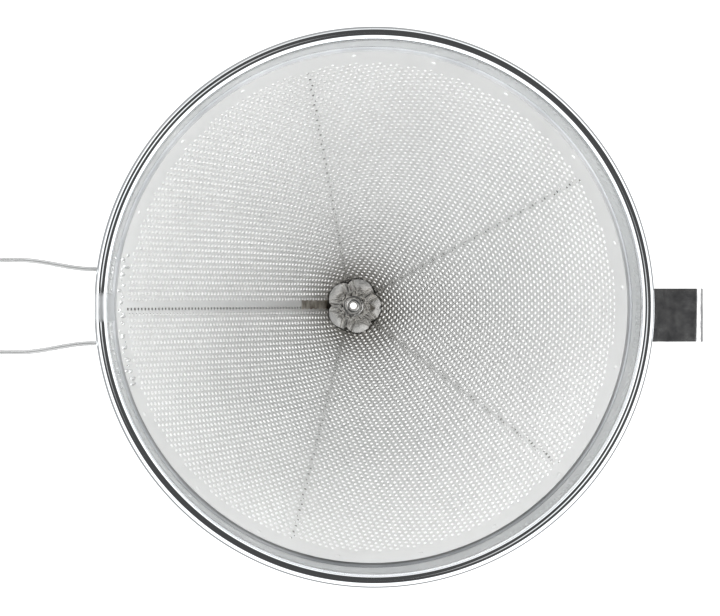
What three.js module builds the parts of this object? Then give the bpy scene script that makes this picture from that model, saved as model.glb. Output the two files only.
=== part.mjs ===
// Conical double sieve strainer for honey: a rolled steel ring that holds a
// perforated cone inside a fine wire-mesh cone, with a wire handle and a hook.
// Millimetres, +Z up. The origin is on the cone's axis, in the plane where the
// handle and the hook rest on the rim of the vessel below.
import * as THREE from 'three';

// ---- Ring ----
const OUTER_RADIUS = 125;            // outside of the rolled bead
const BEAD_RADIUS = 3.2;             // of the bead's own round section
const BEAD_Z = 7.5;                  // height of the bead's centre
const BAND_THICKNESS = 0.6;
const BAND_BEND_RADIUS = 6;          // where the wall turns into the sloping flange
const WALL_DRAFT = Math.PI / 36;     // the wall leans out by 5 degrees towards the top
const BEAD_OPEN_ANGLE = 125;         // degrees past the outermost point where the roll ends
const FLANGE_START = 228;            // distance from the cone's tip, along the slope
const GAP = 0.3;                     // clearance between touching pieces
const BEAD_CENTRE_RADIUS = OUTER_RADIUS - BEAD_RADIUS;
const ROLL_RADIUS = BEAD_RADIUS - BAND_THICKNESS / 2;
const RIM_WIRE_RADIUS = 2.3;

// ---- Sieve cones: a half angle of 30 degrees, so the slope is 60 degrees ----
const HALF_ANGLE = Math.PI / 6;
const TIP_Z = -212.2;                // tip of the coarse sieve's inner surface
const SHEET_THICKNESS = 0.6;
// Each cone lies between two offsets, measured square to the coarse sieve's inner surface.
const COARSE = { from: 0, to: SHEET_THICKNESS, start: 9, end: 231.5 };
const FLANGE_OFFSET = COARSE.to + GAP + BAND_THICKNESS / 2;
const SUPPORT_RADIUS = 0.9;
const SUPPORT_OFFSET = COARSE.to + GAP + SUPPORT_RADIUS;
const FINE_FROM = SUPPORT_OFFSET + SUPPORT_RADIUS + GAP;
const FINE = { from: FINE_FROM, to: FINE_FROM + SHEET_THICKNESS, start: 6, end: 233.5 };
const HOOP = {
  from: FLANGE_OFFSET + BAND_THICKNESS / 2 + GAP,
  to: FINE.from - GAP,
  start: FLANGE_START,
  end: FINE.end,
};
const SUPPORT_START = 20;
const SUPPORT_END = HOOP.start - 2 * GAP;
const SUPPORT_AZIMUTHS = [31.5, 105, 180, 251, 320];   // degrees from +X

// ---- Hub ----
const ROSETTE_RADIUS = 14.2;
const ROSETTE_SEAT_RADIUS = 6;       // flat middle of the rosette
const ROSETTE_SEAT_Z = -194;
const ROSETTE_THICKNESS = 0.8;
const RIVET_HOLE_RADIUS = 1.6;
const RIVET_SHANK_RADIUS = 2.4;
const RIVET_HEAD_RADIUS = 4.5;
const RIVET_HEAD_HEIGHT = 1.5;
const RIVET_FOOT_HEIGHT = 1;
const CAP_THICKNESS = 0.8;
const CAP_OFFSET = FINE.to + GAP;
const CAP_FLOOR_Z = -211;
const CAP_END = 24;                  // distance from the tip, along the slope

// ---- Handle: one wire bent into a long loop ----
const HANDLE_WIRE_RADIUS = 1.75;
const HANDLE_ROOT_HALF_WIDTH = 16.5;
const HANDLE_HALF_WIDTH = 20.3;
const HANDLE_FLARE_START_X = -126;
const HANDLE_FLARE_END_X = -158;
const HANDLE_TIP_X = -262;

// ---- Hook: a strap bent down at both ends ----
const HOOK_WIDTH = 24.2;
const HOOK_CENTRE_Y = -3.6;
const HOOK_THICKNESS = 1.5;
const HOOK_REACH_X = 149;
const HOOK_BEND_RADIUS = 5.5;        // outside of each bend
const HOOK_TAB_Z = -9;
const HOOK_LIP_Z = -20;

// ---- Fineness ----
const ROUND_STEPS = 72;
const HUB_STEPS = 32;
const WIRE_SIDES = 8;
const HANDLE_STEPS = 60;
const HOOK_BEND_STEPS = 6;

const ringSteel = () => new THREE.MeshStandardMaterial({ color: 0xd6d8d8, roughness: 0.15, metalness: 1 });
const sheetSteel = () => new THREE.MeshStandardMaterial({ color: 0xdcdcda, roughness: 0.3, metalness: 1 });
const meshSteel = () => new THREE.MeshStandardMaterial({ color: 0xc9cac8, roughness: 0.4, metalness: 1 });
const wireSteel = () => new THREE.MeshStandardMaterial({ color: 0xb4b5b3, roughness: 0.25, metalness: 1 });

const radians = (degrees) => degrees * Math.PI / 180;

// Radius and height of a point at distance s from the tip along the slope, moved
// square to the slope by an offset, outwards and down.
function conePoint(s, offset) {
  return [
    s * Math.sin(HALF_ANGLE) + offset * Math.cos(HALF_ANGLE),
    TIP_Z + s * Math.cos(HALF_ANGLE) - offset * Math.sin(HALF_ANGLE),
  ];
}

// A solid of revolution about Z from a closed outline of [radius, height] points.
function revolve(outline, steps) {
  let area = 0;
  outline.forEach(([r, z], i) => {
    const [nextR, nextZ] = outline[(i + 1) % outline.length];
    area += r * nextZ - nextR * z;
  });
  const loop = area > 0 ? outline : outline.slice().reverse();
  const points = [...loop, loop[0]].map(([r, z]) => new THREE.Vector2(r, z));
  return new THREE.LatheGeometry(points, steps).rotateX(Math.PI / 2);
}

// The outline of a strip of constant thickness that follows a line of [r, z] points.
function strip(line, thickness) {
  const left = [];
  const right = [];
  line.forEach(([r, z], i) => {
    const before = line[Math.max(i - 1, 0)];
    const after = line[Math.min(i + 1, line.length - 1)];
    const length = Math.hypot(after[0] - before[0], after[1] - before[1]);
    const normal = [-(after[1] - before[1]) / length, (after[0] - before[0]) / length];
    left.push([r + normal[0] * thickness / 2, z + normal[1] * thickness / 2]);
    right.push([r - normal[0] * thickness / 2, z - normal[1] * thickness / 2]);
  });
  return [...right, ...left.reverse()];
}

// A truncated cone shell between two offsets and two distances from the tip.
function coneShell({ from, to, start, end }, steps) {
  const outline = [conePoint(start, to), conePoint(end, to), conePoint(end, from), conePoint(start, from)];
  return revolve(outline, steps);
}

// A round bar along a curve.
function bar(path, radius, steps) {
  const section = new THREE.Shape();
  for (let i = 0; i < WIRE_SIDES; i++) {
    const angle = 2 * Math.PI * (i + 0.5) / WIRE_SIDES;
    const point = [radius * Math.cos(angle), radius * Math.sin(angle)];
    if (i === 0) section.moveTo(...point);
    else section.lineTo(...point);
  }
  section.closePath();
  return new THREE.ExtrudeGeometry(section, { extrudePath: path, steps, bevelEnabled: false });
}

// Radius of the middle of the wall's sheet at a height.
function wallRadius(z) {
  const topRadius = BEAD_CENTRE_RADIUS - ROLL_RADIUS * Math.cos(WALL_DRAFT);
  const topZ = BEAD_Z + ROLL_RADIUS * Math.sin(WALL_DRAFT);
  return topRadius - (topZ - z) * Math.tan(WALL_DRAFT);
}

// Flange, wall and rolled bead in one strip. The roll stays open next to the wall.
function rimBand() {
  const flangeLow = conePoint(FLANGE_START, FLANGE_OFFSET);
  const inset = wallRadius(flangeLow[1]) - flangeLow[0];
  const cornerZ = flangeLow[1] + inset / (Math.tan(HALF_ANGLE) - Math.tan(WALL_DRAFT));
  const turn = HALF_ANGLE - WALL_DRAFT;
  const tangent = BAND_BEND_RADIUS * Math.tan(turn / 2);
  const line = [flangeLow];
  const bendEnd = [
    wallRadius(cornerZ) + tangent * Math.sin(WALL_DRAFT),
    cornerZ + tangent * Math.cos(WALL_DRAFT),
  ];
  const bendCentre = [
    bendEnd[0] - BAND_BEND_RADIUS * Math.cos(WALL_DRAFT),
    bendEnd[1] + BAND_BEND_RADIUS * Math.sin(WALL_DRAFT),
  ];
  const bendSteps = 2;
  for (let i = bendSteps; i >= 0; i--) {
    const angle = WALL_DRAFT + turn * i / bendSteps;
    line.push([
      bendCentre[0] + BAND_BEND_RADIUS * Math.cos(angle),
      bendCentre[1] - BAND_BEND_RADIUS * Math.sin(angle),
    ]);
  }
  const rollSteps = 9;
  const rollStart = Math.PI - WALL_DRAFT;
  for (let i = 0; i <= rollSteps; i++) {
    const angle = rollStart - (rollStart + radians(BEAD_OPEN_ANGLE)) * i / rollSteps;
    line.push([BEAD_CENTRE_RADIUS + ROLL_RADIUS * Math.cos(angle), BEAD_Z + ROLL_RADIUS * Math.sin(angle)]);
  }
  return revolve(strip(line, BAND_THICKNESS), ROUND_STEPS);
}

function rimWire() {
  const ring = new THREE.TorusGeometry(BEAD_CENTRE_RADIUS, RIM_WIRE_RADIUS, WIRE_SIDES, ROUND_STEPS);
  return ring.translate(0, 0, BEAD_Z);
}

// A straight rod that lies between the two sieves, along the slope.
function supportWire(azimuth) {
  const ends = [SUPPORT_START, SUPPORT_END].map((s) => {
    const [r, z] = conePoint(s, SUPPORT_OFFSET);
    const angle = radians(azimuth);
    return new THREE.Vector3(r * Math.cos(angle), r * Math.sin(angle), z);
  });
  return bar(new THREE.LineCurve3(...ends), SUPPORT_RADIUS, 1);
}

// A dished plate that presses the coarse sieve's tip from inside.
function hubRosette() {
  const holeRadius = RIVET_SHANK_RADIUS + GAP;
  const rim = [ROSETTE_RADIUS, TIP_Z + (ROSETTE_RADIUS * Math.cos(HALF_ANGLE) + GAP) / Math.sin(HALF_ANGLE)];
  const top = ROSETTE_THICKNESS;
  const inset = ROSETTE_THICKNESS / 4;
  return revolve([
    [holeRadius, ROSETTE_SEAT_Z],
    [ROSETTE_SEAT_RADIUS, ROSETTE_SEAT_Z],
    rim,
    [rim[0] - inset, rim[1] + top],
    [ROSETTE_SEAT_RADIUS - inset, ROSETTE_SEAT_Z + top],
    [holeRadius, ROSETTE_SEAT_Z + top],
  ], HUB_STEPS);
}

// A cup that closes both sieves' tips from outside.
function hubCap() {
  const holeRadius = RIVET_SHANK_RADIUS + GAP;
  const radiusAt = (z, offset) => (z - TIP_Z) * Math.tan(HALF_ANGLE) + offset / Math.cos(HALF_ANGLE);
  const outerOffset = CAP_OFFSET + CAP_THICKNESS;
  const floorUnder = CAP_FLOOR_Z - CAP_THICKNESS;
  return revolve([
    [holeRadius, floorUnder],
    [radiusAt(floorUnder, outerOffset), floorUnder],
    conePoint(CAP_END, outerOffset),
    conePoint(CAP_END, CAP_OFFSET),
    [radiusAt(CAP_FLOOR_Z, CAP_OFFSET), CAP_FLOOR_Z],
    [holeRadius, CAP_FLOOR_Z],
  ], HUB_STEPS);
}

// A hollow rivet through the rosette and the cap, with a domed head and a rolled foot.
function hubRivet() {
  const headLow = ROSETTE_SEAT_Z + ROSETTE_THICKNESS + GAP;
  const footTop = CAP_FLOOR_Z - CAP_THICKNESS - GAP;
  const footLow = footTop - RIVET_FOOT_HEIGHT;
  const outline = [
    [RIVET_HOLE_RADIUS, footLow],
    [RIVET_HEAD_RADIUS - RIVET_FOOT_HEIGHT / 2, footLow],
    [RIVET_HEAD_RADIUS, footTop],
    [RIVET_SHANK_RADIUS, footTop],
    [RIVET_SHANK_RADIUS, headLow],
    [RIVET_HEAD_RADIUS, headLow],
  ];
  const domeSteps = 4;
  const crownHalfWidth = (RIVET_HEAD_RADIUS - RIVET_HOLE_RADIUS) / 2;
  for (let i = 1; i < domeSteps; i++) {
    const angle = Math.PI * i / domeSteps;
    outline.push([
      RIVET_HOLE_RADIUS + crownHalfWidth * (1 + Math.cos(angle)),
      headLow + RIVET_HEAD_HEIGHT * Math.sin(angle),
    ]);
  }
  outline.push([RIVET_HOLE_RADIUS, headLow]);
  return revolve(outline, HUB_STEPS);
}

// From the wall out to the loop's round end and back again.
function handleWire() {
  const rootX = GAP - wallRadius(2 * HANDLE_WIRE_RADIUS);
  const endCentreX = HANDLE_TIP_X + HANDLE_WIRE_RADIUS + HANDLE_HALF_WIDTH;
  const oneSide = [[rootX, HANDLE_ROOT_HALF_WIDTH]];
  const flareSteps = 6;
  for (let i = 0; i <= flareSteps; i++) {
    const t = i / flareSteps;
    const ease = t * t * (3 - 2 * t);
    oneSide.push([
      HANDLE_FLARE_START_X + (HANDLE_FLARE_END_X - HANDLE_FLARE_START_X) * t,
      HANDLE_ROOT_HALF_WIDTH + (HANDLE_HALF_WIDTH - HANDLE_ROOT_HALF_WIDTH) * ease,
    ]);
  }
  const straightSteps = 3;
  for (let i = 1; i < straightSteps; i++) {
    const t = i / straightSteps;
    oneSide.push([HANDLE_FLARE_END_X + (endCentreX - HANDLE_FLARE_END_X) * t, HANDLE_HALF_WIDTH]);
  }
  const roundEnd = [];
  const roundSteps = 12;
  for (let i = 0; i <= roundSteps; i++) {
    const angle = Math.PI / 2 + Math.PI * i / roundSteps;
    roundEnd.push([
      endCentreX + HANDLE_HALF_WIDTH * Math.cos(angle),
      HANDLE_HALF_WIDTH * Math.sin(angle),
    ]);
  }
  const otherSide = oneSide.map(([x, y]) => [x, -y]).reverse();
  const points = [...oneSide, ...roundEnd, ...otherSide].map(([x, y]) => new THREE.Vector3(x, y, 0));
  const path = new THREE.CatmullRomCurve3(points, false, 'centripetal');
  return bar(path, HANDLE_WIRE_RADIUS, HANDLE_STEPS).translate(0, 0, HANDLE_WIRE_RADIUS);
}

// A tab on the ring's wall, a flat strap that rests on the vessel, and a lip that turns down.
function bucketHook() {
  const outer = HOOK_BEND_RADIUS;
  const inside = wallRadius(HOOK_THICKNESS - outer) + BAND_THICKNESS / 2 + GAP;
  const inner = HOOK_BEND_RADIUS - HOOK_THICKNESS;
  const top = HOOK_THICKNESS;
  const profile = new THREE.Shape();
  profile.moveTo(inside, HOOK_TAB_Z);
  profile.lineTo(inside + HOOK_THICKNESS, HOOK_TAB_Z);
  profile.lineTo(inside + HOOK_THICKNESS, top - outer);
  profile.absarc(inside + outer, top - outer, inner, Math.PI, Math.PI / 2, true);
  profile.lineTo(HOOK_REACH_X - outer, 0);
  profile.absarc(HOOK_REACH_X - outer, top - outer, inner, Math.PI / 2, 0, true);
  profile.lineTo(HOOK_REACH_X - HOOK_THICKNESS, HOOK_LIP_Z);
  profile.lineTo(HOOK_REACH_X, HOOK_LIP_Z);
  profile.lineTo(HOOK_REACH_X, top - outer);
  profile.absarc(HOOK_REACH_X - outer, top - outer, outer, 0, Math.PI / 2, false);
  profile.lineTo(inside + outer, top);
  profile.absarc(inside + outer, top - outer, outer, Math.PI / 2, Math.PI, false);
  profile.closePath();
  const options = { depth: HOOK_WIDTH, curveSegments: HOOK_BEND_STEPS, bevelEnabled: false };
  const strap = new THREE.ExtrudeGeometry(profile, options);
  return strap.rotateX(Math.PI / 2).translate(0, HOOK_CENTRE_Y + HOOK_WIDTH / 2, 0);
}

const strainer = new THREE.Group();

function add(name, geometry, material) {
  const piece = new THREE.Mesh(geometry, material);
  piece.name = name;
  strainer.add(piece);
}

add('rim_band', rimBand(), ringSteel());
add('rim_wire', rimWire(), wireSteel());
add('coarse_cone', coneShell(COARSE, ROUND_STEPS), sheetSteel());
add('fine_cone', coneShell(FINE, ROUND_STEPS), meshSteel());
add('fine_mesh_hoop', coneShell(HOOP, ROUND_STEPS), sheetSteel());
SUPPORT_AZIMUTHS.forEach((azimuth, i) => add(`support_wire_${i + 1}`, supportWire(azimuth), wireSteel()));
add('hub_rosette', hubRosette(), sheetSteel());
add('hub_cap', hubCap(), sheetSteel());
add('hub_rivet', hubRivet(), ringSteel());
add('handle_wire', handleWire(), wireSteel());
add('bucket_hook', bucketHook(), ringSteel());

export default strainer;
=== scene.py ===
import math

import bpy
import numpy as np
from mathutils import Matrix, Vector


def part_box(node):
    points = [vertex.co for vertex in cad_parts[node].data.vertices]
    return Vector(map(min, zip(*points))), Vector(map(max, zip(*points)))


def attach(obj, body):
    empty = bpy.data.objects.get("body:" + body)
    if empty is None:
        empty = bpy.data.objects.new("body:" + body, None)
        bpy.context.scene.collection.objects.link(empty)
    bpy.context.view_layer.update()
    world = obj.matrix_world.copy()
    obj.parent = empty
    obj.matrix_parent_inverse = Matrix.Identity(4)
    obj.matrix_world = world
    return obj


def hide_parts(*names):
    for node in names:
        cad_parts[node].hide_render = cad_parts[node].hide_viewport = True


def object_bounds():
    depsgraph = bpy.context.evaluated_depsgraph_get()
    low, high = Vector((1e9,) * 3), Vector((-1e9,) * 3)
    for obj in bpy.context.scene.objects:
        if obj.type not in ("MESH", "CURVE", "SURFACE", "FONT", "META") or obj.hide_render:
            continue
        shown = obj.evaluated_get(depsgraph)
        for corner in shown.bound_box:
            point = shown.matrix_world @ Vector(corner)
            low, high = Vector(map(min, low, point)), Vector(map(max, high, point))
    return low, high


# A conical double sieve strainer: a rolled steel ring, a perforated cone inside a woven
# mesh cone, five support wires, a riveted hub, a wire handle and a hook. Metres, +Z up.
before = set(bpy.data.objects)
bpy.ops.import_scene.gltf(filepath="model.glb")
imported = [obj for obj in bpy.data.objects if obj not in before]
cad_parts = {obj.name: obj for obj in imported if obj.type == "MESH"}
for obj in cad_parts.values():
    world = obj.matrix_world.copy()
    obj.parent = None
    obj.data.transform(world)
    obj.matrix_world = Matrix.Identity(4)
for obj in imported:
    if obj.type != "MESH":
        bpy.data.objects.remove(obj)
cad_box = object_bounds()

MM = 0.001
TAU = 2 * math.pi
BODY = "root"

# ---- Places and sizes that come from the frame ----
band_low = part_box("rim_band")[0]
coarse_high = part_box("coarse_cone")[1]
fine_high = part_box("fine_cone")[1]
hoop_low, hoop_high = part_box("fine_mesh_hoop")
wire_low, wire_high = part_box("rim_wire")
rosette_low, rosette_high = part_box("hub_rosette")
cap_low, cap_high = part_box("hub_cap")
rivet_low, rivet_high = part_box("hub_rivet")
handle_low, handle_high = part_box("handle_wire")
hook_low, hook_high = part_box("bucket_hook")

# ---- The cones' shared slope, 60 degrees from level ----
HALF_ANGLE = math.radians(30)
SIN, COS = math.sin(HALF_ANGLE), math.cos(HALF_ANGLE)
SHEET = 0.4 * MM                     # real thickness of the perforated sheet
BAND = 0.6 * MM                      # real thickness of the ring's strip
CAD_SHELL = 0.6 * MM                 # thickness of the CAD cones
GAP = 0.3 * MM
SEAM_AZIMUTH = math.pi

# Tip of the coarse cone's inner surface, from the top corner of its shell.
TIP_Z = coarse_high[2] - (coarse_high[0] - CAD_SHELL * COS) / math.tan(HALF_ANGLE)
COARSE_TOP = (coarse_high[2] - TIP_Z) / COS
FINE_OFFSET = (fine_high[0] - (fine_high[2] - TIP_Z) * math.tan(HALF_ANGLE)) * COS


def cone_xyz(s, azimuth, offset):
    """Points at distance s from the tip along the slope, moved outwards square to it."""
    s, azimuth, offset = np.broadcast_arrays(s, azimuth, offset)
    r = s * SIN + offset * COS
    z = TIP_Z + s * COS - offset * SIN
    return np.stack([r * np.cos(azimuth), r * np.sin(azimuth), z], axis=-1)


def flat_to_cone(flat, offset):
    """Rolls points of the flat half disc (u, v), v >= 0, into the cone, seam at 180 degrees."""
    rho = np.hypot(flat[:, 0], flat[:, 1])
    theta = np.arctan2(flat[:, 1], flat[:, 0])
    return cone_xyz(rho, SEAM_AZIMUTH + 2 * theta, offset)


# ---- Mesh helpers ----

def add_piece(name, verts, faces, slot, material, *nodes, sharp=35):
    """A mesh object that rides on the body, smooth except over sharp edges."""
    mesh = bpy.data.meshes.new(name)
    mesh.from_pydata(np.asarray(verts).tolist(), [], [list(map(int, face)) for face in faces])
    mesh.validate()
    mesh.polygons.foreach_set("use_smooth", np.ones(len(mesh.polygons), dtype=bool))
    mesh.set_sharp_from_angle(angle=math.radians(sharp))
    mesh.materials.append(material)
    piece = bpy.data.objects.new(name, mesh)
    bpy.context.scene.collection.objects.link(piece)
    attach(piece, BODY)
    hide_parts(*nodes)
    return piece


def grid_faces(rows, columns, wrap_rows=False, wrap_columns=False):
    """Quads of a grid of rows x columns vertices."""
    i = np.arange(rows if wrap_rows else rows - 1)
    j = np.arange(columns if wrap_columns else columns - 1)
    i, j = (a.ravel() for a in np.meshgrid(i, j, indexing="ij"))
    i1, j1 = (i + 1) % rows, (j + 1) % columns
    return np.stack([i * columns + j, i1 * columns + j, i1 * columns + j1, i * columns + j1], axis=1)


def join(parts):
    """One vertex array and one face list from several (verts, faces)."""
    verts, faces, count = [], [], 0
    for part_verts, part_faces in parts:
        verts.append(np.asarray(part_verts, dtype=float))
        faces += [[int(i) + count for i in face] for face in part_faces]
        count += len(part_verts)
    return np.concatenate(verts), faces


def lathe(outline, steps, shape=None):
    """A closed outline of (r, z) turned about Z. The outline runs anticlockwise.
    shape(azimuth, points) may move the outline at one azimuth."""
    azimuths = TAU * np.arange(steps) / steps
    rows = []
    for azimuth in azimuths:
        points = np.asarray(outline, dtype=float)
        if shape is not None:
            points = shape(azimuth, points)
        rows.append(np.stack([
            points[:, 0] * math.cos(azimuth), points[:, 0] * math.sin(azimuth), points[:, 1],
        ], axis=1))
    faces = grid_faces(steps, len(outline), wrap_rows=True, wrap_columns=True)
    return np.concatenate(rows), faces


def strip(line, thickness):
    """The outline of a strip of constant thickness that follows a line of (r, z)."""
    line = np.asarray(line, dtype=float)
    tangent = np.gradient(line, axis=0)
    tangent /= np.linalg.norm(tangent, axis=1, keepdims=True)
    normal = np.stack([-tangent[:, 1], tangent[:, 0]], axis=1) * thickness / 2
    return np.concatenate([line - normal, (line + normal)[::-1]])


def arc(centre, radius, start, end, steps):
    """Points (x, y) on an arc, angles in degrees, both ends included."""
    angles = np.radians(np.linspace(start, end, steps + 1))
    return np.stack([centre[0] + radius * np.cos(angles), centre[1] + radius * np.sin(angles)], axis=1)


def tube(path, radius, sides=16):
    """A round bar along a 3-D path, its ends domed."""
    path = np.asarray(path, dtype=float)
    tangent = np.gradient(path, axis=0)
    tangent /= np.linalg.norm(tangent, axis=1, keepdims=True)
    side = np.cross(tangent[0], [0.3, 0.2, 1.0])
    side /= np.linalg.norm(side)
    centres, radii, sides_at, tangents = [], [], [], []
    dome = np.radians([80, 55, 30])

    def station(centre, tangent_here, side_here, r):
        centres.append(centre)
        radii.append(r)
        sides_at.append(side_here)
        tangents.append(tangent_here)

    for angle in dome:
        inset = tangent[0] * radius * (math.sin(angle) - 1)
        station(path[0] - inset, tangent[0], side, radius * math.cos(angle))
    for point, direction in zip(path[1:-1], tangent[1:-1]):
        side = side - direction * np.dot(side, direction)
        side /= np.linalg.norm(side)
        station(point, direction, side, radius)
    for angle in dome[::-1]:
        inset = tangent[-1] * radius * (math.sin(angle) - 1)
        station(path[-1] + inset, tangent[-1], side, radius * math.cos(angle))
    around = TAU * np.arange(sides) / sides
    rings = [
        c + r * (np.outer(np.cos(around), s) + np.outer(np.sin(around), np.cross(t, s)))
        for c, r, s, t in zip(centres, radii, sides_at, tangents)
    ]
    count = len(rings)
    faces = [face[::-1] for face in grid_faces(count, sides, wrap_columns=True).tolist()]
    faces.append(list(range(sides))[::-1])
    faces.append([(count - 1) * sides + k for k in range(sides)])
    return np.concatenate(rings), faces


# ---- Materials ----

def new_material(name):
    material = bpy.data.materials.new(name)
    material.use_nodes = True
    tree = material.node_tree
    shader = tree.nodes["Principled BSDF"]
    return material, tree, shader


def link(tree, a, b):
    tree.links.new(a, b)


def noise(tree, scale, detail, stretch=None):
    """Noise in object space; stretch is a scale for each axis."""
    coords = tree.nodes.new("ShaderNodeTexCoord")
    mapping = tree.nodes.new("ShaderNodeMapping")
    mapping.inputs["Scale"].default_value = stretch or (1, 1, 1)
    texture = tree.nodes.new("ShaderNodeTexNoise")
    texture.inputs["Scale"].default_value = scale
    texture.inputs["Detail"].default_value = detail
    link(tree, coords.outputs["Object"], mapping.inputs["Vector"])
    link(tree, mapping.outputs["Vector"], texture.inputs["Vector"])
    return texture


def ramp(tree, source, dark, light, low=0.3, high=0.7):
    """Turns a grey value into a colour between dark and light."""
    node = tree.nodes.new("ShaderNodeValToRGB")
    node.color_ramp.elements[0].position = low
    node.color_ramp.elements[1].position = high
    node.color_ramp.elements[0].color = (*dark, 1)
    node.color_ramp.elements[1].color = (*light, 1)
    link(tree, source, node.inputs["Fac"])
    return node


def spread(tree, source, low, high):
    """Maps 0..1 onto low..high."""
    node = tree.nodes.new("ShaderNodeMapRange")
    node.inputs["To Min"].default_value = low
    node.inputs["To Max"].default_value = high
    link(tree, source, node.inputs["Value"])
    return node


def math_node(tree, operation, first, second=None):
    """A maths node; the second value is a socket or a number."""
    node = tree.nodes.new("ShaderNodeMath")
    node.operation = operation
    link(tree, first, node.inputs[0])
    if isinstance(second, float):
        node.inputs[1].default_value = second
    elif second is not None:
        link(tree, second, node.inputs[1])
    return node


def bump(tree, shader, source, distance):
    """Relief from a grey value; distance is the height of full white."""
    node = tree.nodes.new("ShaderNodeBump")
    node.inputs["Distance"].default_value = distance
    node.inputs["Strength"].default_value = 1.0
    link(tree, source, node.inputs["Height"])
    link(tree, node.outputs["Normal"], shader.inputs["Normal"])


def steel(name, dark, light, rough, grain_scale=900, grain_depth=0.004 * MM, stretch=None, metallic=1.0,
          cloud_scale=22):
    """Bright stainless steel: cloudy tone, uneven gloss and a fine grain."""
    material, tree, shader = new_material(name)
    shader.inputs["Metallic"].default_value = metallic
    clouds = noise(tree, cloud_scale, 4)
    tone = ramp(tree, clouds.outputs["Fac"], dark, light)
    link(tree, tone.outputs["Color"], shader.inputs["Base Color"])
    grain = noise(tree, grain_scale, 2, stretch)
    gloss = spread(tree, grain.outputs["Fac"], rough[0], rough[1])
    link(tree, gloss.outputs["Result"], shader.inputs["Roughness"])
    bump(tree, shader, grain.outputs["Fac"], grain_depth)
    return material


SATIN_TOP = 2 * MM                   # height below which the wall is a little softer
POLISHED_FROM = 5 * MM
SATIN_EXTRA = 0.01                   # added roughness there
BUTT_DULL_WIDTHS = (5.0 * MM, 7.5 * MM)  # half widths of the dull patch and of its fade
BUTT_EXTRA = 0.40                    # added roughness on the patch


def ring_material(name):
    """Polished, a little softer on the wall, dull over the bead's butt weld."""
    material = steel(name, (0.78, 0.81, 0.835), (0.88, 0.90, 0.915), (0.04, 0.08), 900, 0.0008 * MM)
    tree = material.node_tree
    shader = tree.nodes["Principled BSDF"]
    coords = tree.nodes.new("ShaderNodeTexCoord")
    split = tree.nodes.new("ShaderNodeSeparateXYZ")
    link(tree, coords.outputs["Object"], split.inputs["Vector"])
    height = tree.nodes.new("ShaderNodeMapRange")
    height.inputs["From Min"].default_value = SATIN_TOP
    height.inputs["From Max"].default_value = POLISHED_FROM
    height.inputs["To Min"].default_value = SATIN_EXTRA
    height.inputs["To Max"].default_value = 0.0
    link(tree, split.outputs["Z"], height.inputs["Value"])
    aside = math_node(tree, "ABSOLUTE", split.outputs["Y"])
    patch = tree.nodes.new("ShaderNodeMapRange")
    patch.inputs["From Min"].default_value = BUTT_DULL_WIDTHS[0]
    patch.inputs["From Max"].default_value = BUTT_DULL_WIDTHS[1]
    patch.inputs["To Min"].default_value = BUTT_EXTRA
    patch.inputs["To Max"].default_value = 0.0
    link(tree, aside.outputs["Value"], patch.inputs["Value"])
    handle_side = math_node(tree, "LESS_THAN", split.outputs["X"], 0.0)
    dull = math_node(tree, "MULTIPLY", patch.outputs["Result"], handle_side.outputs["Value"])
    gloss = shader.inputs["Roughness"].links[0].from_socket
    total = math_node(tree, "ADD", gloss, height.outputs["Result"])
    total = math_node(tree, "ADD", total.outputs["Value"], dull.outputs["Value"])
    link(tree, total.outputs["Value"], shader.inputs["Roughness"])
    return material


def paint_tip_shade(material, dark_z, unshaded_z, tint):
    """Multiplies the base colour by a tint that fades out with height: painted shade, darker low in the
    cone.
    """
    tree = material.node_tree
    base = tree.nodes["Principled BSDF"].inputs["Base Color"]
    unshaded = base.links[0].from_socket
    coords = tree.nodes.new("ShaderNodeTexCoord")
    split = tree.nodes.new("ShaderNodeSeparateXYZ")
    link(tree, coords.outputs["Object"], split.inputs["Vector"])
    height = tree.nodes.new("ShaderNodeMapRange")
    height.interpolation_type = "SMOOTHSTEP"
    height.inputs["From Min"].default_value = dark_z
    height.inputs["From Max"].default_value = unshaded_z
    link(tree, split.outputs["Z"], height.inputs["Value"])
    shade_tint = ramp(tree, height.outputs["Result"], tint, (1, 1, 1), 0.0, 1.0)
    mixed = tree.nodes.new("ShaderNodeVectorMath")
    mixed.operation = "MULTIPLY"
    link(tree, unshaded, mixed.inputs[0])
    link(tree, shade_tint.outputs["Color"], mixed.inputs[1])
    link(tree, mixed.outputs["Vector"], base)


# Painted shade: the sheet's darker tone near the tip, deep in the cone, as heights above the tip.
TINT_FULL = 16.2 * MM
TINT_GONE = 54.2 * MM
TIP_SHADE_COLOUR = (0.50, 0.48, 0.45)

ring_steel = ring_material("ring_steel")
strap_steel = steel(
    "strap_steel", (0.50, 0.50, 0.52), (1.0, 1.0, 1.0), (0.05, 0.26), 160, stretch=(1, 0.3, 1),
    cloud_scale=240,
)
sheet_steel = steel(
    "sheet_steel", (0.915, 0.92, 0.915), (0.97, 0.975, 0.97), (0.29, 0.40), 900, 0.002 * MM,
    metallic=0.7,
)
# Painted shade on the sheet, darker towards the tip of the cone.
paint_tip_shade(sheet_steel, TIP_Z + TINT_FULL, TIP_Z + TINT_GONE, TIP_SHADE_COLOUR)
# Painted shade: the lap behind the seam's holes is dark for the shade there, not for the steel's own
# colour.
lap_steel_painted_shade = steel("lap_steel_painted_shade", (0.10, 0.09, 0.08), (0.24, 0.23, 0.21), (0.35, 0.55))
tack_steel = steel(
    "tack_steel", (0.22, 0.19, 0.15), (0.72, 0.68, 0.62), (0.30, 0.55), 400, 0.04 * MM,
    cloud_scale=260,
)
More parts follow.
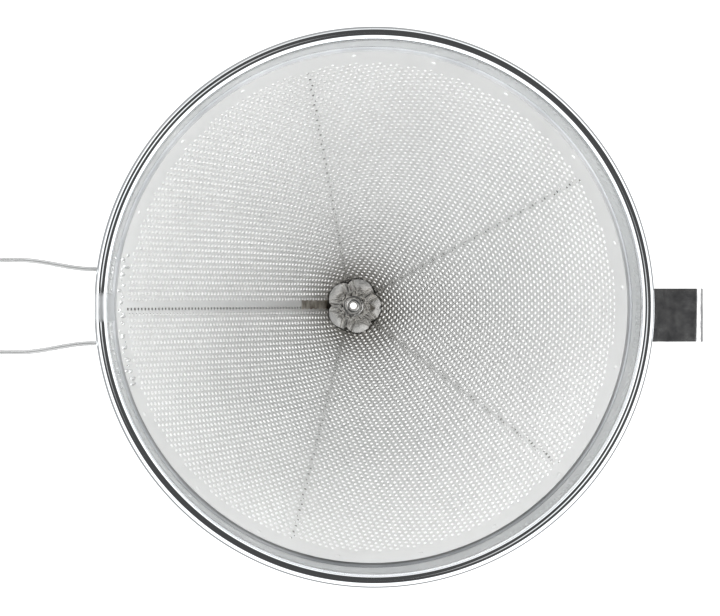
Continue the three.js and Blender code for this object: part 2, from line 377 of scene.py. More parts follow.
# Painted shade: the support wires are dark for the shade they lie in behind the sheet.
support_steel_painted_shade = steel("support_steel_painted_shade", (0.24, 0.23, 0.22), (0.42, 0.41, 0.40), (0.25, 0.40))
handle_steel = steel(
    "handle_steel", (0.90, 0.91, 0.91), (0.96, 0.97, 0.97), (0.16, 0.26), metallic=0.6,
)
mesh_steel = steel("mesh_steel", (0.80, 0.80, 0.79), (0.90, 0.90, 0.89), (0.25, 0.40))
wire_steel = steel("wire_steel", (0.62, 0.63, 0.63), (0.74, 0.75, 0.75), (0.12, 0.25))
hub_steel = steel("hub_steel", (0.82, 0.80, 0.77), (0.98, 0.97, 0.95), (0.03, 0.10))
cap_steel = steel("cap_steel", (0.42, 0.42, 0.41), (0.58, 0.58, 0.57), (0.22, 0.38))
hand_weld_steel = steel(
    "hand_weld_steel", (0.78, 0.79, 0.79), (0.93, 0.93, 0.93), (0.15, 0.30), 500, 0.01 * MM,
)
# Painted shade: the seam weld is darkened for the shadow line in the crevice at the foot of the wall.
seam_weld_painted_shade = steel(
    "seam_weld_painted_shade", (0.42, 0.43, 0.44), (0.66, 0.67, 0.68), (0.30, 0.55), 500, 0.02 * MM,
)


# ---- Coarse cone: a half disc of sheet with staggered round holes, rolled up ----
PITCH = 3.0 * MM
ROW = PITCH * math.sqrt(3) / 2
HOLE_RADIUS = 0.78 * MM
HOLE_SIDES = 8
FIRST_ROW = 0.9 * MM                 # from the seam to the first row of holes
FIELD_START = 20 * MM                # distance from the tip to the first and last holes
FIELD_END = 222.4 * MM
SEAM_CLEAR_ROWS = 1                  # rows left out on the lapped side of the seam
TIP_CUT = 10 * MM
OUTLINE_STEPS = 360


def clip(polygon, normal, limit):
    """The part of a convex polygon where p . normal <= limit."""
    result = []
    for k, point in enumerate(polygon):
        following = polygon[(k + 1) % len(polygon)]
        here = point[0] * normal[0] + point[1] * normal[1] - limit
        there = following[0] * normal[0] + following[1] * normal[1] - limit
        if here <= 0:
            result.append(point)
        if here * there < 0:
            t = here / (here - there)
            x = point[0] + t * (following[0] - point[0])
            y = point[1] + t * (following[1] - point[1])
            result.append((x, y))
    return result


def clip_to_disc(polygon, radius):
    """Clips a cell against the sides of the outline polygon next to it."""
    centre = np.mean(polygon, axis=0)
    step = math.pi / OUTLINE_STEPS
    index = math.floor(math.atan2(centre[1], centre[0]) / step)
    for k in range(index - 2, index + 3):
        middle = (k + 0.5) * step
        polygon = clip(polygon, (math.cos(middle), math.sin(middle)), radius * math.cos(step / 2))
    return polygon


def cell_faces(outer, centre, has_hole):
    """Triangles of one cell of sheet, as corner coordinates."""
    if not has_hole:
        return [(outer[0], outer[k], outer[k + 1]) for k in range(1, len(outer) - 1)]
    hole = [
        (centre[0] + HOLE_RADIUS * math.cos(a), centre[1] + HOLE_RADIUS * math.sin(a))
        for a in TAU * (np.arange(HOLE_SIDES) + 0.5) / HOLE_SIDES
    ]
    outer_angles = [math.atan2(y - centre[1], x - centre[0]) % TAU for x, y in outer]
    order = np.argsort(outer_angles)
    ring = [(outer_angles[k], "outer", outer[k]) for k in order]
    ring += [(math.atan2(y - centre[1], x - centre[0]) % TAU, "hole", (x, y)) for x, y in hole]
    ring.sort(key=lambda entry: entry[0])
    triangles = []
    last_outer = next(p for _, kind, p in reversed(ring) if kind == "outer")
    last_hole = next(p for _, kind, p in reversed(ring) if kind == "hole")
    for _, kind, point in ring:
        if kind == "outer":
            triangles.append((last_outer, point, last_hole))
            last_outer = point
        else:
            triangles.append((last_hole, last_outer, point))
            last_hole = point
    return triangles


def sheet_sector(first, last):
    """Top triangles of the flat sheet between two angles of the half disc."""
    reach = int(COARSE_TOP / PITCH) + 2
    triangles = []
    for row in range(-1, int(COARSE_TOP / ROW) + 2):
        v = FIRST_ROW + row * ROW
        for column in range(-reach, reach + 1):
            u = (column + 0.5 * (row % 2)) * PITCH
            rho, theta = math.hypot(u, v), math.atan2(v, u)
            wrapped = max(theta, 0.0) if u > 0 or v > 0 else math.pi
            if not first <= wrapped < last or rho > COARSE_TOP + PITCH or rho < TIP_CUT:
                continue
            corners = [
                (u + PITCH / math.sqrt(3) * math.cos(a), v + PITCH / math.sqrt(3) * math.sin(a))
                for a in math.pi / 6 + TAU * np.arange(6) / 6
            ]
            whole = min(y for _, y in corners) > 0 or row == 0
            lapped = u < 0 and row < SEAM_CLEAR_ROWS
            has_hole = whole and row >= 0 and not lapped and FIELD_START < rho < FIELD_END
            outer = clip(corners, (0, -1), 0)
            if rho > COARSE_TOP - 2 * PITCH:
                outer = clip_to_disc(outer, COARSE_TOP)
            if len(outer) >= 3:
                triangles += cell_faces(outer, (u, v), has_hole)
    return np.array(triangles)


def thick_sheet(triangles, inner_offset, thickness):
    """Rolls flat triangles into the cone and gives them thickness, closed all round."""
    keys = np.round(triangles.reshape(-1, 2) / (0.01 * MM)).astype(np.int64)
    _, index, inverse = np.unique(keys, axis=0, return_index=True, return_inverse=True)
    flat = triangles.reshape(-1, 2)[index]
    faces = inverse.reshape(-1, 3)
    first, second, third = faces.T
    faces = faces[(first != second) & (second != third) & (third != first)]
    count = len(flat)
    edges = np.concatenate([faces[:, [0, 1]], faces[:, [1, 2]], faces[:, [2, 0]]])
    codes = edges[:, 0] * count + edges[:, 1]
    reverse = edges[:, 1] * count + edges[:, 0]
    border = edges[~np.isin(codes, reverse)]
    verts = np.concatenate([flat_to_cone(flat, inner_offset), flat_to_cone(flat, inner_offset + thickness)])
    walls = np.stack([border[:, 1], border[:, 0], border[:, 0] + count, border[:, 1] + count], axis=1)
    return verts, faces.tolist() + (faces[:, ::-1] + count).tolist() + walls.tolist()


def coarse_cone():
    sectors = 3
    for k in range(sectors):
        last = math.pi / sectors * (k + 1) if k < sectors - 1 else math.pi + 0.01
        triangles = sheet_sector(math.pi / sectors * k, last)
        verts, faces = thick_sheet(triangles, 0.0, SHEET)
        name = f"coarse_sheet_{'abc'[k]}"
        add_piece(name, verts, faces, "perforated_sheet", sheet_steel, "coarse_cone")


def seam_lap():
    """The sheet's hidden edge, which lies under the first row of holes; its material is painted dark for
    the shade it lies in.
    """
    width, margin = 3.2 * MM, 0.4 * MM
    s = np.linspace(TIP_CUT, COARSE_TOP - margin, 60)
    across = np.array([-0.3, width / MM]) * MM
    rows = []
    for offset in (SHEET + 0.05 * MM, 2 * SHEET + 0.05 * MM):
        for v in across:
            rows.append(cone_xyz(s, SEAM_AZIMUTH + 2 * v / s, offset))
    order = [rows[0], rows[1], rows[3], rows[2]]
    verts = np.stack(order, axis=1).reshape(-1, 3)
    faces = [face[::-1] for face in grid_faces(len(s), 4, wrap_columns=True).tolist()]
    faces += [[0, 1, 2, 3], [len(verts) - 1 - k for k in range(4)]]
    add_piece("seam_lap", verts, faces, "perforated_sheet", lap_steel_painted_shade)


def seam_tack():
    """The heat-stained weld that closes the seam near the hub, on the inner face."""
    rows = 24
    s = np.linspace(24 * MM, 56 * MM, rows)
    wave = 0.35 * MM * np.sin(np.arange(rows) * 1.9)
    edges = [
        cone_xyz(s, SEAM_AZIMUTH + 2 * (v + sway) / s, offset)
        for v, sway, offset in (
            (-2.9 * MM, wave, 0.05 * MM), (-2.9 * MM, wave, -0.12 * MM), (-0.8 * MM, wave, -0.28 * MM),
            (1.5 * MM, -wave, -0.12 * MM), (1.5 * MM, -wave, 0.05 * MM),
        )
    ]
    verts = np.stack(edges, axis=1).reshape(-1, 3)
    faces = grid_faces(rows, 5, wrap_columns=True).tolist()
    faces += [[4, 3, 2, 1, 0], [len(verts) - 5 + k for k in range(5)]]
    add_piece("seam_tack", verts, faces, "perforated_sheet", tack_steel)


# ---- Fine cone: woven wire, laid out flat and rolled up the same way ----
MESH_PITCH = 1.0 * MM
MESH_WIRE = 0.1 * MM                 # radius of the mesh's wire
MESH_STEP = 8 * MM                   # length of each straight stretch
MESH_START = 22 * MM
MESH_TOP = (fine_high[2] - TIP_Z) / COS


def mesh_wire(ends, offset):
    """A four-sided wire along a straight line of the flat half disc."""
    (u0, v0), (u1, v1) = ends
    length = math.hypot(u1 - u0, v1 - v0)
    count = max(2, round(length / MESH_STEP) + 1)
    t = np.linspace(0, 1, count)
    flat = np.stack([u0 + t * (u1 - u0), v0 + t * (v1 - v0)], axis=1)
    side = np.array([-(v1 - v0), u1 - u0]) / length * MESH_WIRE
    rings = [
        flat_to_cone(flat + side, offset),
        flat_to_cone(flat, offset + MESH_WIRE),
        flat_to_cone(flat - side, offset),
        flat_to_cone(flat, offset - MESH_WIRE),
    ]
    verts = np.stack(rings, axis=1).reshape(-1, 3)
    faces = grid_faces(count, 4, wrap_columns=True).tolist()
    faces += [[3, 2, 1, 0], [len(verts) - 4 + k for k in range(4)]]
    return verts, faces


def fine_cone():
    offset = FINE_OFFSET - CAD_SHELL / 2
    wires = []
    edge = MESH_WIRE * 1.5
    for k in range(1, int(MESH_TOP / MESH_PITCH)):
        v = k * MESH_PITCH
        reach = math.sqrt(max(MESH_TOP**2 - v**2, 0))
        core = math.sqrt(max(MESH_START**2 - v**2, 0))
        if core > 0:
            wires.append(mesh_wire(((-reach, v), (-core, v)), offset - MESH_WIRE))
            wires.append(mesh_wire(((core, v), (reach, v)), offset - MESH_WIRE))
        else:
            wires.append(mesh_wire(((-reach, v), (reach, v)), offset - MESH_WIRE))
    columns = int(MESH_TOP / MESH_PITCH)
    for k in range(-columns, columns + 1):
        u = (k + 0.5) * MESH_PITCH
        if abs(u) > MESH_TOP - MESH_PITCH:
            continue
        low = math.sqrt(max(MESH_START**2 - u**2, 0)) or edge
        wires.append(mesh_wire(((u, low), (u, math.sqrt(MESH_TOP**2 - u**2))), offset + MESH_WIRE))
    verts, faces = join(wires)
    add_piece("fine_mesh", verts, faces, "fine_mesh", mesh_steel, "fine_cone", sharp=80)


def fine_seam():
    """A narrow soldered strip that closes the mesh along its seam."""
    half_width, thickness = 2.2 * MM, 0.3 * MM
    s = np.linspace(MESH_START, MESH_TOP, 80)
    rows = [
        cone_xyz(s, SEAM_AZIMUTH + 2 * v / s, FINE_OFFSET - CAD_SHELL / 2 + offset)
        for v, offset in ((-half_width, -thickness), (half_width, -thickness),
                          (half_width, thickness), (-half_width, thickness))
    ]
    verts = np.stack(rows, axis=1).reshape(-1, 3)
    faces = [face[::-1] for face in grid_faces(len(s), 4, wrap_columns=True).tolist()]
    faces += [[0, 1, 2, 3], [len(verts) - 1 - k for k in range(4)]]
    add_piece("fine_mesh_seam", verts, faces, "perforated_sheet", sheet_steel)


# ---- Ring ----
RING_STEPS = 360
BAND_BEND = 6 * MM                   # radius of the bend from wall to flange
WALL_DRAFT = math.radians(5)         # the wall leans out towards the top
ROLL_END = -125                      # degrees round the bead where the roll ends
BEAD_RADIUS = BAND + GAP + (wire_high[2] - wire_low[2]) / 2
BEAD_CENTRE = ((wire_high[0]) - (wire_high[2] - wire_low[2]) / 2, (wire_high[2] + wire_low[2]) / 2)
ROLL_RADIUS = BEAD_RADIUS - BAND / 2
BUTT_HALF_WIDTH = math.radians(3.4)
FLANGE_INNER = CAD_SHELL + GAP       # offset of the flange's inner face


def wall_radius(z):
    """Radius of the middle of the wall's sheet at a height."""
    top_radius = BEAD_CENTRE[0] - ROLL_RADIUS * math.cos(WALL_DRAFT)
    top_z = BEAD_CENTRE[1] + ROLL_RADIUS * math.sin(WALL_DRAFT)
    return top_radius - (top_z - z) * math.tan(WALL_DRAFT)


def rim_band():
    flange_offset = FLANGE_INNER + BAND / 2
    flange_z = band_low[2] + BAND / 2 * SIN
    flange_low = ((flange_z - TIP_Z) * math.tan(HALF_ANGLE) + flange_offset / COS, flange_z)
    inset = wall_radius(flange_z) - flange_low[0]
    corner_z = flange_z + inset / (math.tan(HALF_ANGLE) - math.tan(WALL_DRAFT))
    tangent = BAND_BEND * math.tan((HALF_ANGLE - WALL_DRAFT) / 2)
    lean = np.array([math.sin(WALL_DRAFT), math.cos(WALL_DRAFT)])
    bend_end = np.array([wall_radius(corner_z), corner_z]) + tangent * lean
    centre = bend_end + BAND_BEND * np.array([-lean[1], lean[0]])
    bend = arc(centre, BAND_BEND, -math.degrees(HALF_ANGLE), -math.degrees(WALL_DRAFT), 8)
    flange = np.linspace(flange_low, bend[0], 6)[:-1]
    roll = arc(BEAD_CENTRE, ROLL_RADIUS, 180 - math.degrees(WALL_DRAFT), ROLL_END, 36)
    wall = np.linspace(bend[-1], roll[0], 8)[1:-1]
    outline = strip(np.concatenate([flange, bend, wall, roll]), BAND)

    def butt_weld(azimuth, points):
        """Near the seam the band is hammered flatter, with a fine groove at the joint."""
        away = abs((azimuth - SEAM_AZIMUTH + math.pi) % TAU - math.pi)
        patch = math.exp(-(away / BUTT_HALF_WIDTH) ** 6)
        groove = math.exp(-(away / math.radians(0.35)) ** 2)
        middle = np.array(BEAD_CENTRE)
        is_bead = points[:, 1] > BEAD_CENTRE[1] - BEAD_RADIUS
        pull = 0.06 * patch + 0.05 * groove
        moved = points.copy()
        moved[is_bead] = middle + (points[is_bead] - middle) * (1 - pull)
        return moved

    verts, faces = lathe(outline, RING_STEPS, butt_weld)
    add_piece("rim_band_rolled", verts, faces, "ring_steel", ring_steel, "rim_band", sharp=50)


def seam_weld():
    """The narrow weld that closes the step between the sheet's edge and the flange; its darker colour is
    painted shade for the shadow line in this crevice.
    """
    reach, depth, bite = 1.0 * MM, 1.2 * MM, 0.05 * MM
    corners = [
        (COARSE_TOP - depth, SHEET - bite),
        (COARSE_TOP - depth, FLANGE_INNER + bite),
        (COARSE_TOP + reach, FLANGE_INNER + bite),
        (COARSE_TOP + 0.45 * reach, 0.5 * FLANGE_INNER),
        (COARSE_TOP + bite, SHEET / 2),
        (COARSE_TOP - bite, SHEET - bite),
    ]
    outline = [(s * SIN + o * COS, TIP_Z + s * COS - o * SIN) for s, o in corners]
    verts, faces = lathe(outline, RING_STEPS)
    add_piece("seam_weld", verts, faces, "ring_steel", seam_weld_painted_shade)


SPOT_AZIMUTHS = (-13.9, 4.6, 14.8, 36.8, 58, 76, 94.4, 121.2, 139, 158,
                 205, 226, 243, 262, 281, 299, 318, 334)
ROUGH_WELD = (168, 198)              # degrees between which the edge is welded by hand


def button(s, azimuth, radius, height, stretch=1.0):
    """A low dome on the sheet's inner face, stretched along the slope, closed underneath."""
    around = TAU * np.arange(12) / 12
    rings = []
    for share, rise in ((1.0, -0.12 * MM), (1.0, 0.0), (0.8, 0.6 * height), (0.4, height)):
        along = s + share * radius * stretch * np.cos(around)
        rings.append(cone_xyz(along, azimuth + share * radius * np.sin(around) / (s * SIN), -rise))
    verts = np.concatenate(rings)
    faces = grid_faces(4, 12, wrap_columns=True).tolist()
    faces += [list(range(12))[::-1], [36 + k for k in range(12)]]
    return verts, faces


def weld_marks():
    """Spot welds round the margin and a rough hand weld on the handle's side."""
    spot_s = COARSE_TOP - 3.6 * MM
    spots = [button(spot_s, math.radians(degrees), 1.1 * MM, 0.22 * MM) for degrees in SPOT_AZIMUTHS]
    verts, faces = join(spots)
    add_piece("spot_welds", verts, faces, "perforated_sheet", sheet_steel)
    rng = np.random.default_rng(7)
    parts = []
    for degrees in np.arange(*ROUGH_WELD, 0.9):
        place = math.radians(degrees + rng.uniform(-0.4, 0.4))
        s = COARSE_TOP - rng.uniform(1.5, 5.5) * MM
        size = rng.uniform(0.4, 1.1) * MM
        parts.append(button(s, place, size, rng.uniform(0.2, 0.6) * MM, rng.uniform(0.8, 3.0)))
    verts, faces = join(parts)
    add_piece("hand_weld", verts, faces, "perforated_sheet", hand_weld_steel)


def rim_wire():
    radius = (wire_high[2] - wire_low[2]) / 2
    section = arc(BEAD_CENTRE, radius, 0, 360, 16)[:-1]
    verts, faces = lathe(section, RING_STEPS)
    add_piece("rim_wire_round", verts, faces, "wire_steel", wire_steel, "rim_wire")


def fine_hoop():
    """The frustum strip that carries the mesh's top edge."""
    inner = CAD_SHELL + GAP + BAND + GAP
    outer = FINE_OFFSET - CAD_SHELL - GAP
    start = (hoop_low[2] - TIP_Z + outer * SIN) / COS
    end = (hoop_high[2] - TIP_Z + inner * SIN) / COS
    corner = 0.15 * MM
    corners = []
    for s, offset in ((start, outer), (end, outer), (end, inner), (start, inner)):
        inward_s = corner if s == start else -corner
        inward_o = corner if offset == inner else -corner
        pair = [(s + inward_s, offset), (s, offset + inward_o)]
        if (s == start) == (offset == outer):
            pair.reverse()
        corners += pair
    outline = [(s * SIN + o * COS, TIP_Z + s * COS - o * SIN) for s, o in corners]
    verts, faces = lathe(outline, RING_STEPS)
    add_piece("fine_mesh_hoop_strip", verts, faces, "perforated_sheet", sheet_steel, "fine_mesh_hoop")


# ---- Support wires ----

def support_wires():
    for k in range(1, 6):
        node = f"support_wire_{k}"
        low, high = (np.array(corner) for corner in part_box(node))
        centre = (low + high) / 2
        azimuth = math.atan2(centre[1], centre[0])
        radius = (FINE_OFFSET - CAD_SHELL - GAP - CAD_SHELL - GAP) / 2
        offset = CAD_SHELL + GAP + radius
        start = (low[2] - TIP_Z + (offset + radius) * SIN) / COS
        end = (high[2] - TIP_Z + (offset - radius) * SIN) / COS
        path = cone_xyz(np.linspace(start, end, 12), azimuth, offset)
        verts, faces = tube(path, radius)
        add_piece(f"{node}_rod", verts, faces, "wire_steel", support_steel_painted_shade, node)


# ---- Hub ----
PETALS = 5
ROSETTE_SIDES = 200
RIB_HEIGHT = 1.5 * MM
RIB_WIDTH = 0.8 * MM                 # to where a rib has fallen to about a third
GROOVE_DEPTH = 0.7 * MM              # of the groove on each side of a rib
GROOVE_WIDTH = 0.7 * MM
GROOVE_PLACE = 2.2 * MM              # from the middle of the rib
CUP_HEIGHT = 1.6 * MM                # of the bulge along the middle of a petal
RELIEF_RUN = 1.6 * MM                # over which the ribs and grooves rise from the seat
PETAL_NOTCH = 0.16                   # share of the rim radius lost between petals


def support_azimuths():
    angles = []
    for k in range(1, PETALS + 1):
        low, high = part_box(f"support_wire_{k}")
        angles.append(math.atan2(low[1] + high[1], low[0] + high[0]) % TAU)
    return sorted(angles)


def hub_rosette():
    """A pressed dish with five cupped petals between five ribs, one over each support wire."""
    ribs = np.array(support_azimuths())
    rim_radius = rosette_high[0]
    hole = 2.7 * MM
    seat = 5.2 * MM
    thickness = 0.7 * MM
    rings = 36
    azimuths = TAU * np.arange(ROSETTE_SIDES) / ROSETTE_SIDES

    def from_nearest_rib(azimuth):
        away = (azimuth - ribs + math.pi) % TAU - math.pi
        return away[np.argmin(abs(away))]

    top, bottom = [], []
    for azimuth in azimuths:
        away = from_nearest_rib(azimuth)
        petal_width = TAU / PETALS / 2
        lobe = math.sin(min(abs(away) / petal_width, 1) * math.pi / 2)
        edge = rim_radius * (1 - PETAL_NOTCH + PETAL_NOTCH * lobe ** 0.8)
        r = hole + (edge - hole) * np.linspace(0, 1, rings)
        flare = np.clip((r - seat) / (rim_radius - seat), 0, 1)
        rise = rosette_high[2] - thickness - rosette_low[2]
        z = rosette_low[2] + rise * (flare ** 1.15)
        across = r * np.sin(away)
        inside = np.clip((r - seat) / RELIEF_RUN, 0, 1)
        rib = RIB_HEIGHT * np.exp(-(across / RIB_WIDTH) ** 2) * inside * (r < edge)
        groove = GROOVE_DEPTH * np.exp(-((abs(across) - GROOVE_PLACE) / GROOVE_WIDTH) ** 2) * inside
        cup = CUP_HEIGHT * lobe * np.sin(np.clip((r - seat) / (edge - seat), 0, 1) * math.pi)
        limit = TIP_Z + (r * COS + GAP) / SIN
        z = np.maximum(z + rib - groove + cup, limit)
        top.append(np.stack([r * math.cos(azimuth), r * math.sin(azimuth), z + thickness], axis=1))
        bottom.append(np.stack([r * math.cos(azimuth), r * math.sin(azimuth), z], axis=1))
    sheet = [np.concatenate([t, b[::-1]]) for t, b in zip(top, bottom)]
    quads = grid_faces(ROSETTE_SIDES, 2 * rings, wrap_rows=True, wrap_columns=True)
    faces = quads[:, ::-1].tolist()
    verts = np.concatenate(sheet)
    verts[:, 2] = np.clip(verts[:, 2], rosette_low[2], rosette_high[2] + 2 * MM)
    add_piece("hub_rosette_petals", verts, faces, "hub_steel", hub_steel, "hub_rosette", sharp=50)


def hub_cap():
    """A conical cup with a rounded floor edge."""
    thickness = 0.8 * MM
    outer = FINE_OFFSET + GAP + thickness
    middle = outer - thickness / 2
    floor = cap_low[2] + thickness / 2
    corner_radius = (floor - TIP_Z) * math.tan(HALF_ANGLE) + middle / COS
    bend = 2.0 * MM
    turn = math.radians(60)
    tangent = bend * math.tan(turn / 2)
    centre = (corner_radius - tangent, floor + bend)
    line = [(2.7 * MM, floor), (3.4 * MM, floor)]
    line += arc(centre, bend, -90, -30, 8).tolist()
    top_s = (cap_high[2] - TIP_Z + (outer - thickness) * SIN) / COS
    top = (top_s * SIN + middle * COS, TIP_Z + top_s * COS - middle * SIN)
    line += np.linspace(line[-1], top, 6)[1:].tolist()
    verts, faces = lathe(strip(line, thickness), 128)
    add_piece("hub_cap_cup", verts, faces, "hub_steel", cap_steel, "hub_cap", sharp=50)


def hub_rivet():
    hole, shank, head = 1.6 * MM, 2.4 * MM, rivet_high[0]
    head_low = rosette_low[2] + 0.8 * MM + GAP
    foot_top = cap_low[2] - GAP
    crown = (head - hole) / 2
    outline = [(hole, rivet_low[2] + 0.4 * MM), (hole + 0.4 * MM, rivet_low[2])]
    outline += arc((head - 0.5 * MM, (rivet_low[2] + foot_top) / 2), (foot_top - rivet_low[2]) / 2,
                   -90, 90, 8).tolist()
    outline += [(shank, foot_top), (shank, head_low)]
    dome = arc((0, 0), 1, 0, 180, 16)
    rise = rivet_high[2] - head_low
    outline += [(hole + crown + crown * x, head_low + rise * abs(y) ** 0.75) for x, y in dome]
    verts, faces = lathe(outline, 96)
    add_piece("hub_rivet_hollow", verts, faces, "hub_steel", hub_steel, "hub_rivet", sharp=50)


# ---- Handle and hook ----
HANDLE_RADIUS = (handle_high[2] - handle_low[2]) / 2


def handle_points():
    """Half the loop's outline, from the wall to the loop's end, and its mirror image."""
    root_half = 16.5 * MM
    half = handle_high[1] - HANDLE_RADIUS
    root_x = handle_high[0]
    flare = (-126 * MM, -158 * MM)
    end_x = handle_low[0] + HANDLE_RADIUS + half
    t = np.linspace(0, 1, 25)
    ease = t * t * (3 - 2 * t)
    side = [(x, root_half) for x in np.linspace(root_x, flare[0], 6)[:-1]]
    side += list(zip(flare[0] + (flare[1] - flare[0]) * t, root_half + (half - root_half) * ease))
    side += [(x, half) for x in np.linspace(flare[1], end_x, 14)[1:-1]]
    loop = arc((end_x, 0), half, 90, 270, 40).tolist()
    mirrored = [(x, -y) for x, y in reversed(side)]
    return np.array([(x, y, handle_low[2] + HANDLE_RADIUS) for x, y in side + loop + mirrored])


def handle_wire():
    path = handle_points()
    verts, faces = tube(path, HANDLE_RADIUS, 20)
    add_piece("handle_loop", verts, faces, "wire_steel", handle_steel, "handle_wire")


def bucket_hook():
    """A strap bent down at both ends, its long edges slightly rounded."""
    thickness = 1.5 * MM
    outer_bend = 5.5 * MM
    middle = outer_bend - thickness / 2
    left, right = hook_low[0], hook_high[0]
    top = hook_high[2]
    tab_z = -9 * MM
    line = [(left + thickness / 2, tab_z), (left + thickness / 2, tab_z * 0.7)]
    line += arc((left + outer_bend, top - outer_bend), middle, 180, 90, 10).tolist()
    line += [(x, top - thickness / 2) for x in np.linspace(left + outer_bend, right - outer_bend, 8)[1:-1]]
    line += arc((right - outer_bend, top - outer_bend), middle, 90, 0, 10).tolist()
    line += [(right - thickness / 2, z) for z in np.linspace(top - outer_bend, hook_low[2], 6)[1:]]
    line = np.array(line)
    tangent = np.gradient(line, axis=0)
    tangent /= np.linalg.norm(tangent, axis=1, keepdims=True)
    normal = np.stack([-tangent[:, 1], tangent[:, 0]], axis=1)
    bevel = 0.2 * MM
    half_t = thickness / 2
    section = []
    for y, h, start in ((hook_high[1], half_t, 0), (hook_low[1], half_t, 90),
                        (hook_low[1], -half_t, 180), (hook_high[1], -half_t, 270)):
        across = math.copysign(bevel, y - (hook_low[1] + hook_high[1]) / 2)
        centre = (y - across, h - math.copysign(bevel, h))
        section += arc(centre, bevel, start, start + 90, 4).tolist()
    rings = [
        [(point[0] + n[0] * h, y, point[1] + n[1] * h) for y, h in section]
        for point, n in zip(line, normal)
    ]
    verts = np.array(rings).reshape(-1, 3)
    columns = len(section)
    faces = grid_faces(len(rings), columns, wrap_columns=True).tolist()
    faces.append(list(range(columns))[::-1])
    faces.append([len(verts) - columns + k for k in range(columns)])
    add_piece("bucket_hook_strap", verts, faces, "ring_steel", strap_steel, "bucket_hook")


# ---- Scene ----
FLOOR_DROP = 45 * MM
FLOOR_HALF_SIZE = 4.0
FLOOR_GLOW = 1.45
# Brightness of the room against the angle from the middle of each zone, in degrees.
DARK_ZONE_AXIS = (0.0, 0.30, 1)      # the dark ceiling round the camera
DARK_ZONE_TONES = ((0, 0.04), (45, 0.04), (56, 1.0), (180, 1.0))
LIT_CORE_AXIS = (-0.16, 0.11, 1)     # a bright opening in it
LIT_CORE_TONES = ((0, 0.85), (7.5, 0.58), (12, 0.0), (180, 0.0))
HORIZON_AXIS = (0.10, -0.17, 1)      # the walls are darker below a slanting line
HORIZON_TONES = ((0, 1.0), (78, 1.0), (90, 0.35), (180, 0.35))
ROOM_STRENGTH = 1.9
FLOOR_WHITE_RADIUS = 0.27            # metres; beyond it the floor falls off to grey
FLOOR_GREY_RADIUS = 0.45


def tone_ramp(tree, source, stops):
    """A grey ramp with straight pieces between (position, grey) stops."""
    node = tree.nodes.new("ShaderNodeValToRGB")
    node.color_ramp.elements.remove(node.color_ramp.elements[0])
    for k, (where, grey) in enumerate(stops):
        stop = node.color_ramp.elements[0] if k == 0 else node.color_ramp.elements.new(where)
        stop.position = where
        stop.color = (grey, grey, grey, 1)
    link(tree, source, node.inputs["Fac"])
    return node


def floor():
    """A pale floor that falls off to grey away from the object."""
    z = cad_box[0][2] - FLOOR_DROP
    mesh = bpy.data.meshes.new("floor")
    size = FLOOR_HALF_SIZE
    corners = [(-size, -size, z), (size, -size, z), (size, size, z), (-size, size, z)]
    mesh.from_pydata(corners, [], [(0, 1, 2, 3)])
    material, tree, shader = new_material("floor_white")
    coords = tree.nodes.new("ShaderNodeTexCoord")
    flat = tree.nodes.new("ShaderNodeVectorMath")
    flat.operation = "MULTIPLY"
    flat.inputs[1].default_value = (1, 1, 0)
    link(tree, coords.outputs["Object"], flat.inputs[0])
    away = tree.nodes.new("ShaderNodeVectorMath")
    away.operation = "LENGTH"
    link(tree, flat.outputs["Vector"], away.inputs[0])
    fade = tone_ramp(tree, away.outputs["Value"], ((FLOOR_WHITE_RADIUS, 1.0), (FLOOR_GREY_RADIUS, 0.22)))
    link(tree, fade.outputs["Color"], shader.inputs["Emission Color"])
    shader.inputs["Base Color"].default_value = (0.08, 0.08, 0.08, 1)
    shader.inputs["Roughness"].default_value = 0.9
    shader.inputs["Specular IOR Level"].default_value = 0.0
    shader.inputs["Emission Strength"].default_value = FLOOR_GLOW
    mesh.materials.append(material)
    ground = bpy.data.objects.new("floor", mesh)
    bpy.context.scene.collection.objects.link(ground)


def zone_tone(tree, coords, axis, tones):
    """A grey value that depends on the angle from an axis."""
    facing = tree.nodes.new("ShaderNodeVectorMath")
    facing.operation = "DOT_PRODUCT"
    facing.inputs[1].default_value = Vector(axis).normalized()
    link(tree, coords.outputs["Generated"], facing.inputs[0])
    angle = math_node(tree, "ARCCOSINE", facing.outputs["Value"])
    share = math_node(tree, "DIVIDE", angle.outputs["Value"], math.pi)
    stops = [(degrees / 180, grey) for degrees, grey in tones]
    return tone_ramp(tree, share.outputs["Value"], stops)


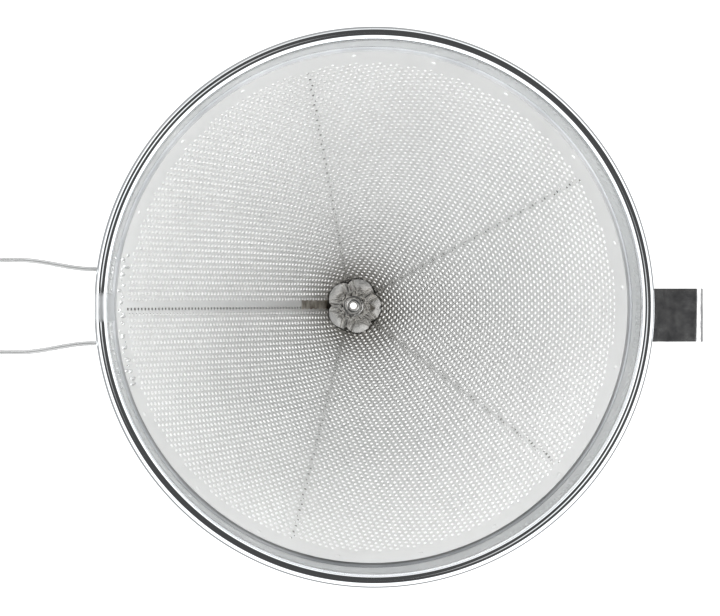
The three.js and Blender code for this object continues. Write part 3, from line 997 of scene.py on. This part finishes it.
def surroundings():
    """A white room, darker overhead but for a small bright opening, and grey below the horizon."""
    world = bpy.data.worlds.new("studio")
    bpy.context.scene.world = world
    world.use_nodes = True
    tree = world.node_tree
    background = tree.nodes["Background"]
    coords = tree.nodes.new("ShaderNodeTexCoord")
    dark = zone_tone(tree, coords, DARK_ZONE_AXIS, DARK_ZONE_TONES)
    core = zone_tone(tree, coords, LIT_CORE_AXIS, LIT_CORE_TONES)
    horizon = zone_tone(tree, coords, HORIZON_AXIS, HORIZON_TONES)
    room = math_node(tree, "MINIMUM", dark.outputs["Color"], horizon.outputs["Color"])
    room = math_node(tree, "MAXIMUM", room.outputs["Value"], core.outputs["Color"])
    link(tree, room.outputs["Value"], background.inputs["Color"])
    background.inputs["Strength"].default_value = ROOM_STRENGTH


KEY_LIGHT_FROM = (0.10, -0.75, 1)
KEY_LIGHT_STRENGTH = 1.1


def key_light():
    """A soft lamp that lifts the satin sheet, hidden from the polished parts."""
    data = bpy.data.lights.new("key_light", "SUN")
    data.energy = KEY_LIGHT_STRENGTH
    data.angle = math.radians(25)
    lamp = bpy.data.objects.new("key_light", data)
    lamp.visible_glossy = False
    turn = Vector((0, 0, 1)).rotation_difference(Vector(KEY_LIGHT_FROM))
    lamp.matrix_world = turn.to_matrix().to_4x4()
    bpy.context.scene.collection.objects.link(lamp)


def camera():
    """Almost straight above, a little towards the handle."""
    rim_z = BEAD_CENTRE[1]
    position = Vector((-66.7 * MM, 4.5 * MM, rim_z + 1130 * MM))
    target = Vector((-7.1 * MM, -0.3 * MM, rim_z))
    forward = (target - position).normalized()
    right = forward.cross(Vector((0, 1, 0))).normalized()
    up = right.cross(forward)
    data = bpy.data.cameras.new("camera")
    data.sensor_width = 36
    data.lens = 127.2
    data.clip_end = 20
    eye = bpy.data.objects.new("camera", data)
    rotation = Matrix((right, up, -forward)).transposed()
    eye.matrix_world = Matrix.Translation(position) @ rotation.to_4x4()
    bpy.context.scene.collection.objects.link(eye)
    bpy.context.scene.camera = eye


camera()
surroundings()
key_light()
floor()
coarse_cone()
seam_lap()
seam_tack()
fine_cone()
fine_seam()
fine_hoop()
rim_band()
seam_weld()
weld_marks()
rim_wire()
support_wires()
hub_rosette()
hub_cap()
hub_rivet()
handle_wire()
bucket_hook()

bpy.context.scene.view_settings.view_transform = "Standard"
